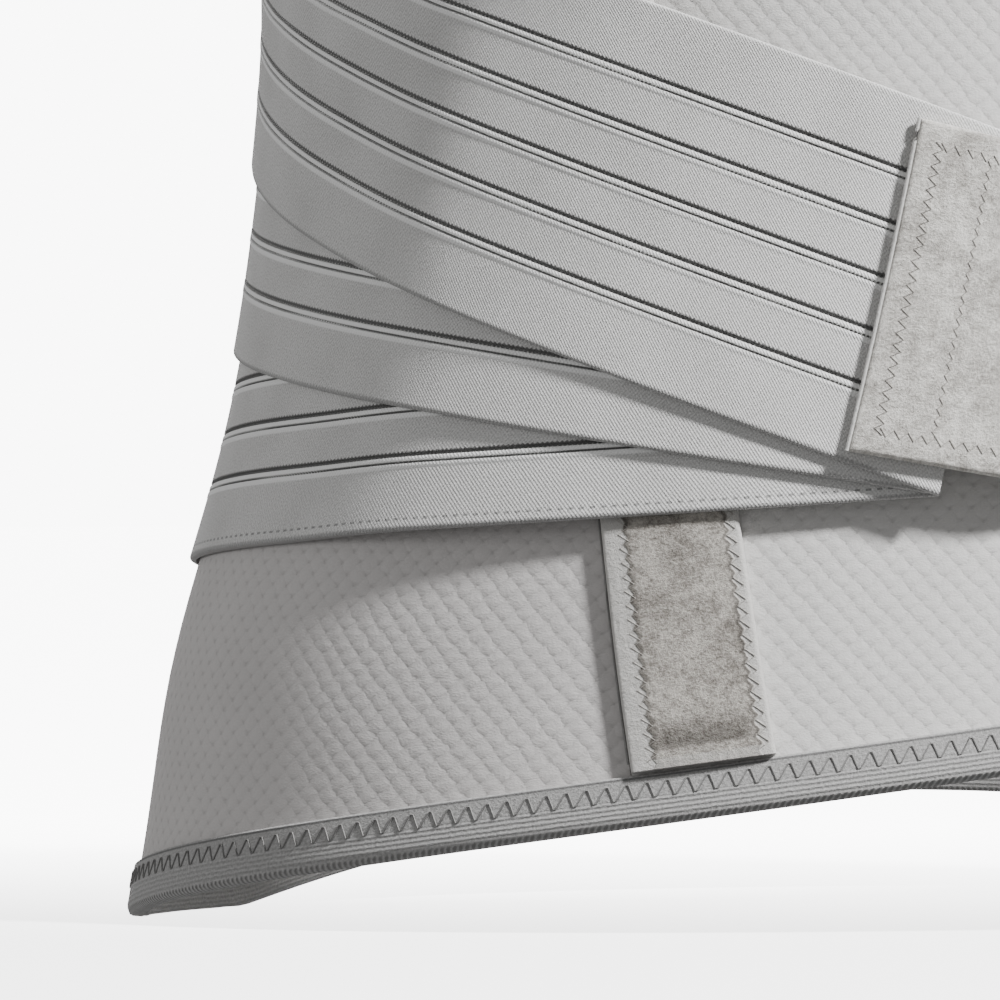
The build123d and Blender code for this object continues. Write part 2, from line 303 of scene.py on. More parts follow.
def knit(name, light, dark, pitch=0.0040, row=0.0022):
    """Spacer knit with staggered raised scales, with painted shade in the hollows between them."""
    k = Shade(name, 0.88, 0.18)
    wob = k.noise(k.vec(k.x, k.y), 330.0, 2.0)
    x = k.m("ADD", k.m("DIVIDE", k.x, pitch), k.m("MULTIPLY", wob, 0.5))
    y = k.m("DIVIDE", k.y, row)
    y = k.m("ADD", y, k.m("MULTIPLY", k.noise(k.vec(k.x, k.y, 3.0), 300.0, 2.0), 0.7))

    def dome(shift_x, shift_y):
        u = k.m("ADD", x, shift_x)
        v = k.m("ADD", y, shift_y)
        fu = k.m("SUBTRACT", u, k.m("ROUND", u))
        half = k.m("DIVIDE", v, 2.0)
        fv = k.m("MULTIPLY", k.m("SUBTRACT", half, k.m("ROUND", half)), 2.0)
        # The lower side of a scale is round and its upper side runs under the next.
        su = k.m("MULTIPLY", k.m("MULTIPLY", fu, fu), 3.0)
        low = k.m("MAXIMUM", k.m("MULTIPLY", fv, -1.0), 0.0)
        below = k.m("MULTIPLY", k.m("MULTIPLY", low, low), 1.25)
        above = k.m("MULTIPLY", k.m("MAXIMUM", fv, 0.0), 0.42)
        sv = k.m("ADD", below, above)
        return k.m("SUBTRACT", 1.0, k.m("ADD", su, sv))

    h = k.m("MAXIMUM", dome(0.0, 0.0), dome(0.5, 1.0))
    yarn = k.noise(k.vec(k.x, k.m("MULTIPLY", k.y, 1.5)), 1700.0, 3.0, 0.65)
    blotch = k.noise(k.vec(k.x, k.y, 7.0), 60.0, 3.0)
    # Painted shade: the hollows between the scales are darker; yarn grain and blotches add the cloth's
    # own tone.
    crease_shade_and_tone = k.m("ADD", k.ramp(h, 0.1, 0.75, 0.12, 0.6), k.m("MULTIPLY", yarn, 0.5))
    crease_shade_and_tone = k.m("ADD", crease_shade_and_tone, k.m("MULTIPLY", k.m("SUBTRACT", blotch, 0.5), 0.3), clamp=True)
    k.color(k.mix(crease_shade_and_tone, dark, light))
    k.bump(k.m("ADD", h, k.m("MULTIPLY", yarn, 0.5)), 0.0005, 0.5)
    return k.mat


def velour(name, light, dark, edge=None, kind=None):
    """Brushed loop pile; kind 'strip' adds its selvages, the pocket end and painted shade in the pocket.
    """
    k = Shade(name, 1.0, 0.45)
    v = k.vec(k.x, k.y)
    fine = k.noise(v, 1900.0, 4.0, 0.75)
    mid = k.noise(k.vec(k.x, k.y, 4.0), 520.0, 3.0, 0.6)
    big = k.noise(k.vec(k.x, k.y, 9.0), 110.0, 3.0, 0.6)
    f = k.m("ADD", k.m("MULTIPLY", fine, 0.8), k.m("MULTIPLY", mid, 0.55))
    f = k.m("ADD", f, k.m("MULTIPLY", big, 0.6))
    f = k.ramp(f, 0.72, 1.24)
    col = k.mix(f, dark, light)
    height = k.m("ADD", fine, k.m("MULTIPLY", mid, 1.2))
    if kind == "strip":
        # x is across the strip from its front edge, y up from its lower end.
        tooth = k.m("PINGPONG", k.y, 0.0014)
        jag = k.m("ADD", k.m("MULTIPLY", tooth, 0.55), k.m("MULTIPLY", mid, 0.0009))
        left = k.ramp(k.m("ADD", k.x, jag), 0.0209, 0.0213)
        right = k.ramp(k.m("SUBTRACT", k.x, jag), 0.0016, 0.0012)
        sel = k.m("MAXIMUM", left, right)
        near = k.m("MAXIMUM", k.band(k.m("ADD", k.x, jag), 0.0207, 0.0004, 0.0003),
                   k.band(k.m("SUBTRACT", k.x, jag), 0.0018, 0.0003, 0.0003))
        end = k.ramp(k.m("ADD", k.y, k.m("MULTIPLY", mid, 0.0006)), 0.0030, 0.0024)
        # Painted shade darkens the pocket just above the strip's lower end.
        pocket_shade = k.m("MULTIPLY", k.ramp(k.y, 0.0115, 0.0048), k.ramp(k.y, 0.0036, 0.0046))
        pocket_shade = k.m("MULTIPLY", pocket_shade, k.band(k.x, 0.0115, 0.0078, 0.0022))
        col = k.mix(k.m("MULTIPLY", pocket_shade, 0.62), col, (0.055, 0.048, 0.042))
        col = k.mix(k.m("MULTIPLY", near, 0.6), col, (0.05, 0.045, 0.04))
        col = k.mix(k.m("MULTIPLY", end, 0.5), col, edge)
        col = k.mix(k.m("MULTIPLY", sel, 0.9), col, edge)
        height = k.m("SUBTRACT", height, k.m("MULTIPLY", sel, 0.7))
    k.color(col)
    k.bump(height, 0.0006, 0.6)
    return k.mat


def webbing(name, light, dark, stitched=False):
    """Elastic strap: flat knitted bands parted by a rib, a gap and a bright edge, with painted shade in
    the gap and under each band's toothed edge.

    x runs along the strap and y across it, up from its lower edge.
    """
    k = Shade(name, 0.8, 0.12)
    v = k.vec(k.x, k.y)
    weave_u = k.m("SINE", k.m("MULTIPLY", k.x, 2 * math.pi / 0.0007))
    weave_v = k.m("SINE", k.m("MULTIPLY", k.y, 2 * math.pi / 0.0009))
    weave = k.m("MULTIPLY", weave_u, weave_v)
    grain = k.noise(v, 2600.0, 3.0, 0.7)
    soft = k.noise(k.vec(k.x, k.y, 5.0), 60.0, 2.0)
    f = k.m("ADD", k.m("MULTIPLY", grain, 1.25), k.m("MULTIPLY", weave, 0.1))
    f = k.m("ADD", f, k.m("MULTIPLY", soft, 0.3))
    col = k.mix(k.ramp(f, 0.45, 1.1), dark, light)
    # Distance above the nearest rib; ribs lie at 13.9 mm and then every 10.05 mm.
    turn = k.m("DIVIDE", k.m("SUBTRACT", k.y, 0.0139), 0.01005)
    nearest = k.m("MINIMUM", k.m("MAXIMUM", k.m("ROUND", turn), 0.0), 4.0)
    rel = k.m("MULTIPLY", k.m("SUBTRACT", turn, nearest), 0.01005)
    tooth = k.m("PINGPONG", k.x, 0.00045)
    # Painted shadow under the toothed lower edge of each band, and painted shade in the gap below each
    # rib.
    band_edge_shadow = k.band(k.m("SUBTRACT", rel, k.m("MULTIPLY", tooth, 0.7)), 0.00082, 0.00042, 0.00014)
    gap_shade = k.band(rel, -0.00068, 0.00026, 0.00012)
    rib = k.band(rel, 0.0, 0.0004, 0.00012)
    lip = k.band(rel, -0.00135, 0.00055, 0.0002)
    # Painted glints: the clear monofilament catches the light as a bright hatch across each gap in
    # places.
    place = k.noise(k.vec(k.x, k.m("MULTIPLY", nearest, 0.35), 2.0), 26.0, 2.0, 0.6)
    some = k.ramp(place, 0.47, 0.6)
    lean = k.m("ADD", k.x, k.m("MULTIPLY", k.y, 0.45))
    hatch = k.ramp(k.m("SINE", k.m("MULTIPLY", lean, 2 * math.pi / 0.0008)), -0.1, 0.6)
    glint = k.m("MULTIPLY", k.m("MULTIPLY", hatch, some), k.band(rel, -0.0006, 0.0011, 0.0004))
    col = k.mix(k.m("MULTIPLY", band_edge_shadow, 0.8), col, (0.05, 0.05, 0.05))
    col = k.mix(k.m("MULTIPLY", gap_shade, 0.82), col, (0.07, 0.07, 0.07))
    col = k.mix(k.m("MULTIPLY", rib, 0.95), col, (0.97, 0.97, 0.96))
    col = k.mix(k.m("MULTIPLY", lip, 0.9), col, (0.95, 0.95, 0.94))
    col = k.mix(k.m("MULTIPLY", glint, 0.75), col, (0.95, 0.95, 0.94))
    # Toothed selvage along the lower edge, its teeth painted dark as shade, and a stitch row.
    edge = k.ramp(k.m("SUBTRACT", k.y, k.m("MULTIPLY", tooth, 0.7)), 0.0009, 0.0003)
    dash = k.ramp(k.m("SINE", k.m("MULTIPLY", k.x, 2 * math.pi / 0.0019)), -0.2, 0.3)
    row = k.m("MULTIPLY", k.band(k.y, 0.0021, 0.00022, 0.0001), dash)
    col = k.mix(k.m("MULTIPLY", edge, 0.45), col, (0.06, 0.06, 0.06))
    if stitched:
        col = k.mix(k.m("MULTIPLY", row, 0.6), col, (0.08, 0.08, 0.08))
    k.color(col)
    h = k.m("ADD", k.m("MULTIPLY", weave, 0.5), grain)
    k.bump(h, 0.00022, 0.6)
    return k.mat


def tape(name, light, dark, ribs=True):
    """Binding tape: x along it, y up from the folded edge."""
    k = Shade(name, 0.85, 0.12)
    v = k.vec(k.x, k.y)
    grain = k.noise(v, 1900.0, 3.0, 0.7)
    lines = k.m("SINE", k.m("MULTIPLY", k.y, 2 * math.pi / 0.00095))
    across = k.m("ADD", k.x, k.m("MULTIPLY", k.y, 0.6))
    twill = k.m("SINE", k.m("MULTIPLY", across, 2 * math.pi / 0.0011))
    low = k.ramp(k.y, 0.0058, 0.0050)
    rope = k.ramp(k.y, 0.0013, 0.0007)
    body = k.m("MULTIPLY", lines, k.m("MULTIPLY", low, 0.3))
    f = k.m("ADD", k.m("MULTIPLY", grain, 1.1), k.m("ADD", k.m("MULTIPLY", body, 0.3), -0.08))
    f = k.m("ADD", f, k.m("MULTIPLY", k.m("MULTIPLY", twill, rope), 0.3))
    col = k.mix(k.ramp(f, 0.15, 0.85), dark, light)
    brim = k.band(k.y, 0.0094, 0.0002, 0.00015)
    col = k.mix(k.m("MULTIPLY", brim, 0.7), col, (0.07, 0.07, 0.07))
    k.color(col)
    cord = k.m("MULTIPLY", k.m("MULTIPLY", twill, rope), 0.8)
    k.bump(k.m("ADD", k.m("ADD", grain, body), cord), 0.0004, 0.7)
    return k.mat


def plain(name, color, rough=0.8, scale=1800.0, depth=0.0002, sheen=0.1):
    k = Shade(name, rough, sheen, color)
    grain = k.noise(k.vec(k.x, k.y), scale, 3.0, 0.6)
    k.color(k.mix(grain, tuple(c * 0.72 for c in color), tuple(min(1, c * 1.25) for c in color)))
    k.bump(grain, depth, 0.6)
    return k.mat


def metal(name, color, rough, metallic):
    k = Shade(name, rough, 0.0, color)
    k.bsdf.inputs["Metallic"].default_value = metallic
    where = k.tree.nodes.new("ShaderNodeTexCoord").outputs["Object"]
    grain = k.noise(where, 900.0, 3.0, 0.5)
    k.color(k.mix(grain, tuple(c * 0.8 for c in color), color))
    k.bump(grain, 0.0001, 0.4)
    return k.mat


# Painted shade: the side panels use a darker copy of the same knit for the sides turned from the light.
KNIT_SIDE_SHADED = knit("knit_side_shaded", (0.60, 0.58, 0.57), (0.36, 0.347, 0.338))
KNIT_FRONT = knit("knit_front", (0.70, 0.69, 0.675), (0.43, 0.42, 0.41))
WEB = webbing("elastic_webbing", (0.80, 0.795, 0.785), (0.47, 0.465, 0.455))
WEB_LOWER = webbing("elastic_webbing_lower", (0.80, 0.795, 0.785), (0.47, 0.465, 0.455), True)
BIND = tape("binding_tape", (0.50, 0.495, 0.49), (0.26, 0.257, 0.252))
CHANNEL = plain("channel_tape", (0.36, 0.355, 0.35), 0.85, 1400.0, 0.0003)
PILE = velour("loop_velour", (0.80, 0.78, 0.735), (0.34, 0.32, 0.295))
PILE_STRIP = velour(
    "loop_velour_strip", (0.55, 0.52, 0.475), (0.16, 0.145, 0.128), (0.55, 0.54, 0.52), "strip")
PIPING = plain("light_piping", (0.66, 0.65, 0.63), 0.8, 1500.0, 0.0003)
THREAD = plain("dark_thread", (0.22, 0.217, 0.212), 0.7, 2500.0, 0.0001)
THREAD_TAB = plain("tab_thread", (0.42, 0.40, 0.375), 0.7, 2500.0, 0.0001)
HOOK = plain("hook_tape", (0.20, 0.20, 0.20), 0.6, 2600.0, 0.0006, 0.0)
STEEL = metal("spring_steel", (0.62, 0.62, 0.63), 0.3, 1.0)
PLASTIC = metal("stay_plastic", (0.72, 0.72, 0.70), 0.45, 0.0)

made = []


def wear(ob, nodes, body, near_seam=None):
    """near_seam names the body that holds the piece at the side seam."""
    if nodes:
        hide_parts(*nodes)
    made.append((ob, body, near_seam))
    return ob


def grid(s0, s1, z0, z1, ds=4.0, dz=4.0):
    """Stations between limits that may depend on the other coordinate."""
    f = lambda g, t: g(t) if callable(g) else np.full_like(t, float(g))
    probe = np.array([120.0])
    length = abs(float(f(s1, probe)[0] - f(s0, probe)[0]))
    n, m = max(4, int(length / ds)) + 1, max(4, int(200 / dz)) + 1
    U, V = np.meshgrid(np.linspace(0, 1, n), np.linspace(0, 1, m), indexing="ij")
    Z = np.full_like(U, 100.0)
    for _ in range(14):
        S = f(s0, Z) * (1 - U) + f(s1, Z) * U
        Z = f(z0, S) * (1 - V) + f(z1, S) * V
    return S, Z, U, V


def edge_lines(width, r, inner):
    """Positions across a width with extra lines near both edges, and their drop."""
    near = np.array([0.0, 0.12, 0.32, 0.6, 1.0]) * r
    drop = r - np.sqrt(np.maximum(r * r - (r - near) ** 2, 0))
    mid = np.linspace(r, width - r, inner + 1)[1:-1]
    pos = np.concatenate([near, mid, (width - near)[::-1]])
    dr = np.concatenate([drop, np.zeros(len(mid)), drop[::-1]])
    return pos, dr


def binding(name, ends, edge, sign, step, mirror, body, near_seam, pocket=True):
    s0, s1 = ends
    S = np.arange(s0, s1, 2.2)
    S = np.append(S, s1)
    q = np.linspace(0, math.pi, 9)
    # The folded tape in section: inner leg, rounded fold, outer leg, groove.
    rd = np.concatenate([[-0.1, -0.75, -1.1, -1.15, -1.1], 1.3 - 2.4 * np.cos(q),
                         [3.7, 3.8, 3.72, 3.3, 2.7], [2.7, -0.1]])
    rt = np.concatenate([[10.0, 10.05, 9.7, 6.0, 3.0], 2.0 - 1.9 * np.sin(q),
                         [3.0, 6.0, 9.7, 10.05, 10.0], [2.4, 2.4]])

    def place(SS, TT):
        z = edge(SS) + sign * (TT - 1.3)
        return np.maximum(z, 0.0) if sign > 0 else z

    if sign < 0:
        rd, rt = rd[::-1], rt[::-1]
    D = rd[None, :] + step(S)[:, None]
    ob = sweep(name, S, D, rt, place, BIND, mirror)
    wear(ob, [name], body, near_seam)
    # Zigzag stitching along the upper half of the tape, both faces.
    runs = []
    pitch = 3.3
    count = int((s1 - s0 - 2) / pitch)
    for face_d in (3.88, -1.22):
        pts_s, pts_t, pts_d = [], [], []
        for k in range(count):
            base = s0 + 1 + k * pitch
            for f, t in ((0.0, 8.2), (0.14, 8.3), (0.5, 5.5), (0.64, 5.4)):
                pts_s.append(base + f * pitch)
                pts_t.append(t)
                pts_d.append(face_d)
        pts_s, pts_t, pts_d = map(np.array, (pts_s, pts_t, pts_d))
        z = edge(pts_s) + sign * (pts_t - 1.3)
        runs.append(P(pts_s, z, pts_d + step(pts_s), mirror))
    stitch = tube(name + ".zigzag", runs, 0.00016, THREAD, 5)
    wear(stitch, [], body, near_seam)
    return ob


def wing(side, past, step):
    mirror = side == "right"
    body = side + "_wing"
    end, seam = -past, SEAM - 0.04
    strip_mid = lambda z: 105.5 + 0.232 * z
    panel_seam = lambda z: strip_mid(z) + 12.5
    low = lambda s: bottom(s) + 1.15
    high = lambda s: top(s) - 1.15

    S, Z, _, _ = grid(lambda z: panel_seam(z) + 0.1, seam, low, high)
    ob = slab("side_panel_" + side, S, Z, 2.6 + 0 * S, 0 * S, KNIT_SIDE_SHADED, mirror)
    wear(ob, ["side_panel_" + side], body, "back")
    S, Z, _, _ = grid(end + 1.4, lambda z: panel_seam(z) - 0.1, low, high)
    ob = slab("front_panel_" + side, S, Z, 2.6 + step(S), step(S), KNIT_FRONT, mirror)
    wear(ob, ["front_panel_" + side], body)

    binding("bottom_binding_" + side, (end, seam), bottom, 1, step, mirror, body, "back")
    binding("top_binding_" + side, (end, seam), top, -1, step, mirror, body, "back")

    # Folded tape over the free front end.
    n = 40
    v = np.linspace(0, 1, n)
    q = np.linspace(0, math.pi, 9)
    rd = np.concatenate([[-0.1, -0.75, -1.1, -1.1], 1.3 - 2.4 * np.cos(q), [3.7, 3.3, 2.7], [2.7, -0.1]])
    rs = np.concatenate([[10.0, 10.05, 9.7, 4.0], 2.0 - 1.95 * np.sin(q), [9.7, 10.05, 10.0], [2.4, 2.4]])
    SS = np.repeat((end + rs)[None], n, 0)
    zz0, zz1 = bottom(end) + 10.2, top(end) - 10.2
    ZZ = zz0 + (zz1 - zz0) * v[:, None] + 0 * SS
    DD = rd[None] + step(SS)
    verts = P(SS, ZZ, DD, mirror).reshape(-1, 3)
    m = len(rs)
    faces = [(i * m + j, i * m + (j + 1) % m, (i + 1) * m + (j + 1) % m, (i + 1) * m + j)
             for i in range(n - 1) for j in range(m)]
    faces += [tuple(range(m))[::-1], tuple((n - 1) * m + j for j in range(m))]
    if not mirror:
        faces = [f[::-1] for f in faces]
    uv = np.stack([ZZ.ravel(), (SS - end).ravel()], -1) * 0.001
    ob = build("end_binding_" + side, verts, faces, BIND, uv, 40.0)
    wear(ob, ["end_binding_" + side], body)
    runs = []
    for face_d in (3.85, -1.22):
        k = np.arange(int((zz1 - zz0 - 2) / 2.2))
        zs = zz0 + 1 + k * 2.2
        ss = end + np.where(k % 2 == 0, 4.6, 8.6)
        runs.append(P(ss, zs, face_d + step(ss), mirror))
    wear(tube("end_binding_" + side + ".zigzag", runs, 0.00016, THREAD, 5), [], body)

    # Velour strip over the panel seam.
    pos, drop = edge_lines(24.4, 0.8, 18)
    zn = 70
    V = np.linspace(0, 1, zn)
    X = np.repeat(pos[:, None], zn, 1)
    Z = np.full_like(X, 100.0)
    for _ in range(14):
        S = strip_mid(Z) - 12.2 + X
        Z = (bottom(S) + 9.2) * (1 - V)[None] + (top(S) - 9.2) * V[None]
    crown = 0.25 * np.sin(np.pi * X / 24.4)
    DO = 5.1 - drop[:, None] + crown
    ob = slab("velour_strip_" + side, S, Z, DO, 2.75 + 0 * S, PILE_STRIP, mirror, X, Z - bottom(S) - 8.7)
    wear(ob, ["velour_strip_" + side], body)
    # Dark line beside the strip, the panel seam with painted shadow of the strip's raised edge, and the
    # strip's zigzag stitches.
    zs = np.linspace(10, 195, 60)
    zs = zs[(zs > bottom(panel_seam(zs)) + 9) & (zs < top(panel_seam(zs)) - 9)]
    line = P(panel_seam(zs) + 0.15, zs, 2.85, mirror)
    wear(tube("seam_shadow_line_" + side, [line], 0.0003, THREAD, 6), [], body)
    runs = []
    for at, wide in ((1.6, 0.8), (20.4, 0.9)):
        zs = np.arange(12.0, 196.0, 1.35)
        ss = strip_mid(zs) - 12.2 + at + np.where(np.arange(len(zs)) % 2 == 0, -wide, wide)
        ok = (zs > bottom(ss) + 10) & (zs < top(ss) - 12)
        runs.append(P(ss[ok], zs[ok], 5.24, mirror))
    wear(tube("velour_strip_" + side + ".stitches", runs, 0.0001, THREAD_TAB, 5), [], body)

    # Closure patch.
    p0, p1 = lambda s: bottom(s) + 15, lambda s: top(s) - 15
    S, Z, _, _ = grid(end + 11.5, end + 56, p0, p1, 3.0, 4.0)
    if past > 20:
        ob = slab("closure_loop_patch", S, Z, 3.9 + step(S), 2.75 + step(S), PILE, mirror)
        wear(ob, ["closure_loop_patch"], body)
    else:
        ob = slab("closure_hook_patch", S, Z, -0.15 + step(S), -1.25 + step(S), HOOK, mirror)
        wear(ob, ["closure_hook_patch"], body)


def strap_base(s):
    t = smooth((s - 165.0) / 40.0)
    return 5.6 * (1 - t) + 3.2 * t


RIBS = 13.9 + 10.05 * np.arange(5)


def strap_profile():
    """Positions across the strap and the height of its face there."""
    pos = [0.0, 0.1, 0.25, 0.5, 0.9, 3.0, 6.0, 9.0]
    for r in RIBS:
        pos += [r + step for step in (-3.2, -2.2, -1.75, -1.6, -1.2, -0.95, -0.8, -0.55, -0.4, -0.3)]
        pos += [r + step for step in (0, 0.3, 0.42, 0.55, 0.8, 1.05, 1.2, 1.7, 4.2)]
    pos += [62.0, 65.5, 67.6, 68.0, 68.25, 68.4, 68.5]
    pos = np.array(sorted(set(np.round(pos, 3))))
    h = np.full(len(pos), 1.45)
    e = np.minimum(pos, 68.5 - pos)
    h -= np.where(e < 0.5, 0.5 - np.sqrt(np.maximum(0.25 - (0.5 - e) ** 2, 0)), 0)
    for r in RIBS:
        rel = pos - r
        h -= np.where((rel > 0.45) & (rel < 1.1), 0.6, 0)
        h -= np.where((rel > -0.85) & (rel < -0.45), 0.62, 0)
        h += np.where(np.abs(rel) < 0.35, 0.05, 0)
        h += np.where((rel > -1.7) & (rel < -0.9), 0.1, 0)
    return pos, h


PROFILE, FACE = strap_profile()
# Name, height of the middle line at s = 200, and its slope.
STRAPS = (("lower", 107.7, -0.078), ("middle", 138.0, 0.165), ("upper", 167.2, 0.39))


def straps(side):
    mirror = side == "right"
    body, wing_body = side + "_straps", side + "_wing"
    for layer, (name, height, slope) in enumerate(STRAPS):
        k = math.sqrt(1 + slope * slope)
        off = (PROFILE - 34.25) * k
        a, b = 77.7, -0.152
        s0 = (a + b * (height - slope * 200.0 + off - 81.5)) / (1 - b * slope)
        n = 120
        u = np.linspace(0, 1, n)[:, None]
        S = s0[None] + (272.7 - s0[None]) * u
        Z = height + slope * (S - 200.0) + off[None]
        base = strap_base(S) + layer * 1.55
        web = WEB if layer else WEB_LOWER
        ob = slab(name + "_strap_" + side, S, Z, base + FACE[None], base + 0.05, web, mirror,
                  S * k, PROFILE[None] + 0 * S)
        wear(ob, [name + "_strap_" + side], body, wing_body)

    # Pull tab.
    (ax, az), (bx, bz) = (29.0, 79.0), (20.0, 138.5)
    (cx, cz), (dx, dz) = (93.5, 91.0), (83.8, 155.0)
    pu, du = edge_lines(64.0, 0.9, 30)
    pv, dv = edge_lines(62.0, 0.9, 26)
    U, V = np.meshgrid(pu / 64.0, pv / 62.0, indexing="ij")
    S = (ax * (1 - V) + bx * V) * (1 - U) + (cx * (1 - V) + dx * V) * U
    Z = (az * (1 - V) + bz * V) * (1 - U) + (cz * (1 - V) + dz * V) * U
    # Rounded tip corners.
    tipx = np.clip(1 - U * 64.0 / 9.0, 0, 1)
    pull = 9.0 * (1 - np.sqrt(np.maximum(1 - tipx ** 2, 0)))
    Z = Z + np.where(V < 0.5, 1, -1) * pull * np.clip(np.abs(V - 0.5) * 2, 0, 1)
    tab_off = lambda s: 4.6 + 5.7 * smooth((s - 46.0) / 22.0)
    drop = np.maximum(du[:, None], dv[None])
    ob = slab("pull_tab_" + side, S, Z, tab_off(S) + 2.3 - drop, tab_off(S) + 0.05, PILE, mirror, S, Z)
    wear(ob, ["pull_tab_" + side], body)
    # Light piping along the sewn edge.
    v = np.linspace(0.0, 1.0, 30)
    ss, zz = cx * (1 - v) + dx * v, cz * (1 - v) + dz * v
    line = P(ss + 0.1, zz, tab_off(ss) + 1.3, mirror)
    wear(tube("pull_tab_" + side + ".piping", [line], 0.00055, PIPING, 8), [], body)
    # Zigzag stitching inside the edges, and the row that holds the straps.
    runs = []

    def inside(u, v):
        return ((ax * (1 - v) + bx * v) * (1 - u) + (cx * (1 - v) + dx * v) * u,
                (az * (1 - v) + bz * v) * (1 - u) + (cz * (1 - v) + dz * v) * u)

    def zig(u0, v0, u1, v1, across_u, across_v, count):
        t = np.arange(count) / (count - 1)
        w = np.where(np.arange(count) % 2 == 0, -1.0, 1.0)
        s, z = inside(u0 + (u1 - u0) * t + w * across_u, v0 + (v1 - v0) * t + w * across_v)
        runs.append(P(s, z, tab_off(s) + 2.36, mirror))

    zig(0.935, 0.06, 0.935, 0.94, 0.012, 0.0, 50)
    zig(0.14, 0.93, 0.93, 0.93, 0.0, 0.012, 44)
    zig(0.14, 0.07, 0.93, 0.07, 0.0, 0.012, 44)
    zig(0.055, 0.14, 0.055, 0.86, 0.012, 0.0, 40)
    zig(0.79, 0.08, 0.79, 0.92, 0.006, 0.0, 50)
    wear(tube("pull_tab_" + side + ".stitches", runs, 0.00012, THREAD_TAB, 5), [], body)

    tip = lambda z: ax + (bx - ax) * (z - az) / (bz - az)
    low = lambda s: az + (cz - az) * (s - ax) / (cx - ax)
    high = lambda s: bz + (dz - bz) * (s - bx) / (dx - bx)
    S, Z, _, _ = grid(lambda z: tip(z) + 4, lambda z: tip(z) + 22,
                      lambda s: low(s) + 4, lambda s: high(s) - 4, 2.0, 6.0)
    ob = slab("tab_hook_patch_" + side, S, Z, tab_off(S) - 0.1, tab_off(S) - 1.3, HOOK, mirror)
    wear(ob, ["tab_hook_patch_" + side], body)

    # Tape over the sewn strap ends.
    pos, drop = edge_lines(11.4, 1.2, 6)
    S = np.repeat((272.9 + pos)[:, None], 60, 1)
    Z = np.repeat(np.linspace(66.0, 240.0, 60)[None], len(pos), 0)
    rise = 3.9 * (1 - smooth((S - 275.0) / 8.0))
    ob = slab("strap_anchor_" + side, S, Z, 4.4 + rise - drop[:, None], 2.75 + 0 * S, CHANNEL, mirror)
    wear(ob, ["strap_anchor_" + side], wing_body, "back")
    runs = []
    for at in (275.2, 282.4):
        zs = np.arange(68.0, 237.0, 3.0)
        for z in zs:
            zz = np.linspace(z, z + 2.0, 3)
            runs.append(P(at + 0 * zz, zz, 4.45 + 3.9 * (1 - smooth((at - 275.0) / 8.0)), mirror))
    wear(tube("strap_anchor_" + side + ".stitches", runs, 0.0002, THREAD, 5), [], wing_body, "back")


def back():
    s0 = SEAM + 0.04
    s1 = 2 * HALF - s0
    S, Z, _, _ = grid(s0, s1, lambda s: bottom(s) + 1.15, lambda s: top(s) - 1.15)
    ob = slab("back_panel", S, Z, 2.6 + 0 * S, 0 * S, KNIT_FRONT)
    wear(ob, ["back_panel"], "back")
    binding("bottom_binding_back", (s0, s1), bottom, 1, flat_step, False, "back", None)
    binding("top_binding_back", (s0, s1), top, -1, flat_step, False, "back", None)
    for k, place in enumerate((-74.0, -26.0, 26.0, 74.0)):
        mid = HALF + place
        pos, drop = edge_lines(24.0, 0.9, 10)
        zn = 60
        S = np.repeat((mid - 12.0 + pos)[:, None], zn, 1)
        foot = bottom(mid) + 8.0
        Z = np.repeat(np.linspace(foot, 254.0, zn)[None], len(pos), 0)
        crown = 0.5 * np.exp(-((S - mid) / 6.5) ** 4)
        ob = slab("stay_channel_%d" % (k + 1), S, Z, 4.9 + crown - drop[:, None], 2.75 + 0 * S, CHANNEL)
        wear(ob, ["stay_channel_%d" % (k + 1)], "back")
        runs = []
        for at in (-9.8, 9.8):
            for z in np.arange(foot + 4.0, 250.0, 3.2):
                zz = np.linspace(z, z + 2.1, 3)
                runs.append(P(mid + at + 0 * zz, zz, 4.98))
        wear(tube("stay_channel_%d.stitches" % (k + 1), runs, 0.00022, THREAD, 5), [], "back")


back()
wing("left", 8.0, flat_step)
wing("right", 60.0, inner_step)
straps("left")
straps("right")

for name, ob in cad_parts.items():
    if name.startswith("back_stay") or name.startswith("front_stay"):
        ob.data.materials.clear()
        ob.data.materials.append(STEEL if name.startswith("back") else PLASTIC)

for ob, body, near_seam in made:
    side = -1.0 if body.startswith("right") else 1.0
    if near_seam == "back":
        # Pieces held at the side seam are baked in place.
        a = P(SEAM, WAIST_Z, 3.0, side < 0)
        b = a + np.array([-0.0022 * side, -0.011, 0.0])
        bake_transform(ob)
    elif near_seam:
        # Pieces held by the wing are baked in place.
        a = P(272.0, 100.0, 3.0, side < 0)
        b = P(215.0, 100.0, 3.0, side < 0)
        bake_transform(ob)
    else:
        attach(ob, body)


